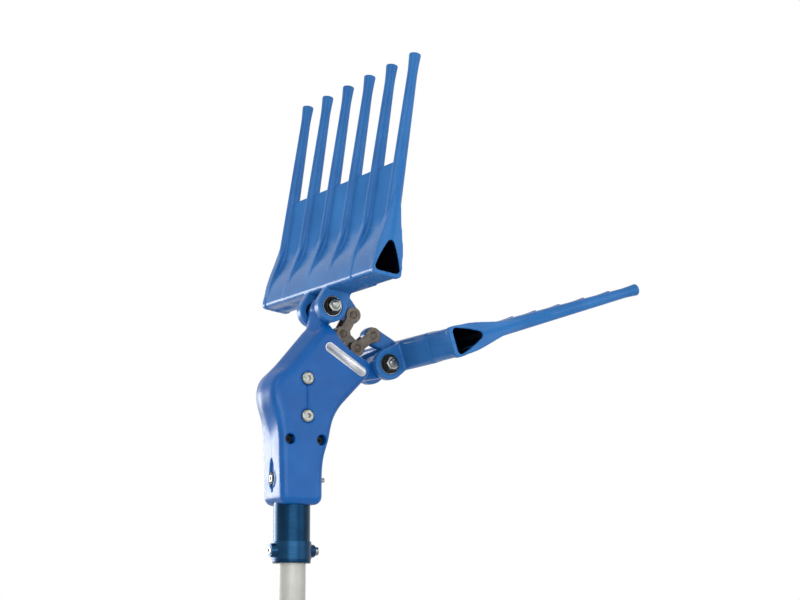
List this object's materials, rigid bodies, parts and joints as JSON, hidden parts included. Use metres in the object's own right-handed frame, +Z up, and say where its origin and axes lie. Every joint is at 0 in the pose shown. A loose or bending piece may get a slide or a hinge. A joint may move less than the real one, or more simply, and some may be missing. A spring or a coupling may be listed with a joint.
{
  "type": "electric olive harvester head",
  "caption": "Head of an electric olive harvester: a moulded drive housing on a pole collar with hinged, toothed combs that clap together through links and a crosshead.",
  "frame": {"origin": "centre of the pole's lower open end", "axes": "+Z up along the pole, +X towards the side that the combs lean to, -Y the front face with the label plate; Y = 0 is the housing's parting plane"},
  "size_m": [0.3887, 0.2824, 0.6508],
  "materials": {
    "pole_aluminium": "satin",
    "collar_blue": "satin",
    "housing_blue": "satin",
    "comb_blue": "satin",
    "label_silver": "satin",
    "bearing_steel": "satin",
    "link_steel": "satin",
    "motor_case": "satin",
    "drive_steel": "machined",
    "zinc_steel": "bright zinc",
    "bush_black": "matt"
  },
  "bodies": {
    "head": {"pole": "pole_aluminium", "collar": "collar_blue", "clamp_front": "collar_blue", "clamp_rear": "collar_blue", "clamp_screw_left": "zinc_steel", "clamp_screw_right": "zinc_steel", "housing_front": "housing_blue", "housing_rear": "housing_blue", "label_plate": "label_silver", "front_bolt_upper": "zinc_steel", "front_bolt_lower": "zinc_steel", "case_screw_left": "zinc_steel", "case_screw_right": "zinc_steel", "cross_bolt": "zinc_steel", "cross_bush": "bush_black", "cross_washer": "zinc_steel", "cross_nut": "zinc_steel", "upper_pivot_bolt": "zinc_steel", "upper_pivot_nut": "zinc_steel", "upper_washer_front": "zinc_steel", "upper_washer_rear": "zinc_steel", "lower_pivot_bolt": "zinc_steel", "lower_pivot_nut": "zinc_steel", "lower_washer_front": "zinc_steel", "lower_washer_rear": "zinc_steel", "stem_guide": "drive_steel", "crank_bearing": "bearing_steel", "motor_can": "motor_case"},
    "upper_comb": {"upper_comb": "comb_blue", "upper_bearing_front": "bearing_steel", "upper_bearing_rear": "bearing_steel"},
    "lower_comb": {"lower_comb": "comb_blue", "lower_bearing_front": "bearing_steel", "lower_bearing_rear": "bearing_steel"},
    "upper_link": {"upper_link_plate_front": "link_steel", "upper_link_plate_rear": "link_steel", "upper_link_pin_lever": "link_steel", "upper_link_pin_crosshead": "link_steel"},
    "lower_link": {"lower_link_plate_front": "link_steel", "lower_link_plate_rear": "link_steel", "lower_link_pin_lever": "link_steel", "lower_link_pin_crosshead": "link_steel"},
    "crosshead": {"crosshead": "drive_steel", "wrist_pin": "drive_steel"},
    "con_rod": {"con_rod": "drive_steel", "crank_pin": "drive_steel"},
    "crank": {"crank_gear": "drive_steel", "crank_shaft": "drive_steel"},
    "motor_rotor": {"motor_shaft": "drive_steel", "pinion": "drive_steel"}
  },
  "joints": [
    {"name": "upper_comb_swing", "type": "hinge", "parent": "head", "child": "upper_comb", "pos_m": [0.03356, 0, 0.39278], "axis": [0, 1, 0], "range_deg": [0, 26]},
    {"name": "lower_comb_swing", "type": "hinge", "parent": "head", "child": "lower_comb", "pos_m": [0.102, 0, 0.33433], "axis": [0, 1, 0], "range_deg": [-26, 0]},
    {"name": "crosshead_slide", "type": "slide", "parent": "head", "child": "crosshead", "axis": [0.6494, 0, 0.7604], "range_m": [-0.01511, 0]},
    {"name": "upper_link_swing", "type": "hinge", "parent": "upper_comb", "child": "upper_link", "pos_m": [0.06772, 0, 0.38792], "axis": [0, 1, 0], "range_deg": [-12.52, 0]},
    {"name": "lower_link_swing", "type": "hinge", "parent": "lower_comb", "child": "lower_link", "pos_m": [0.09185, 0, 0.36731], "axis": [0, 1, 0], "range_deg": [0, 12.52]},
    {"name": "con_rod_swing", "type": "hinge", "parent": "crosshead", "child": "con_rod", "pos_m": [0.02504, 0, 0.31351], "axis": [0, 1, 0], "range_deg": [-14.1, 14.1]},
    {"name": "crank_spin", "type": "hinge", "parent": "head", "child": "crank", "pos_m": [0, 0, 0.2842], "axis": [0, 1, 0], "continuous": true},
    {"name": "motor_spin", "type": "hinge", "parent": "head", "child": "motor_rotor", "pos_m": [0, 0, 0.2562], "axis": [0, 0, 1], "continuous": true}
  ],
  "couplings": [
    {"joint": "lower_comb_swing", "follows": "upper_comb_swing", "ratio": -1},
    {"joint": "crosshead_slide", "follows": "upper_comb_swing", "m_per_rad": -0.03325},
    {"joint": "upper_link_swing", "follows": "upper_comb_swing", "ratio": -0.4795},
    {"joint": "lower_link_swing", "follows": "upper_comb_swing", "ratio": 0.4795},
    {"joint": "motor_spin", "follows": "crank_spin", "ratio": 3}
  ]
}
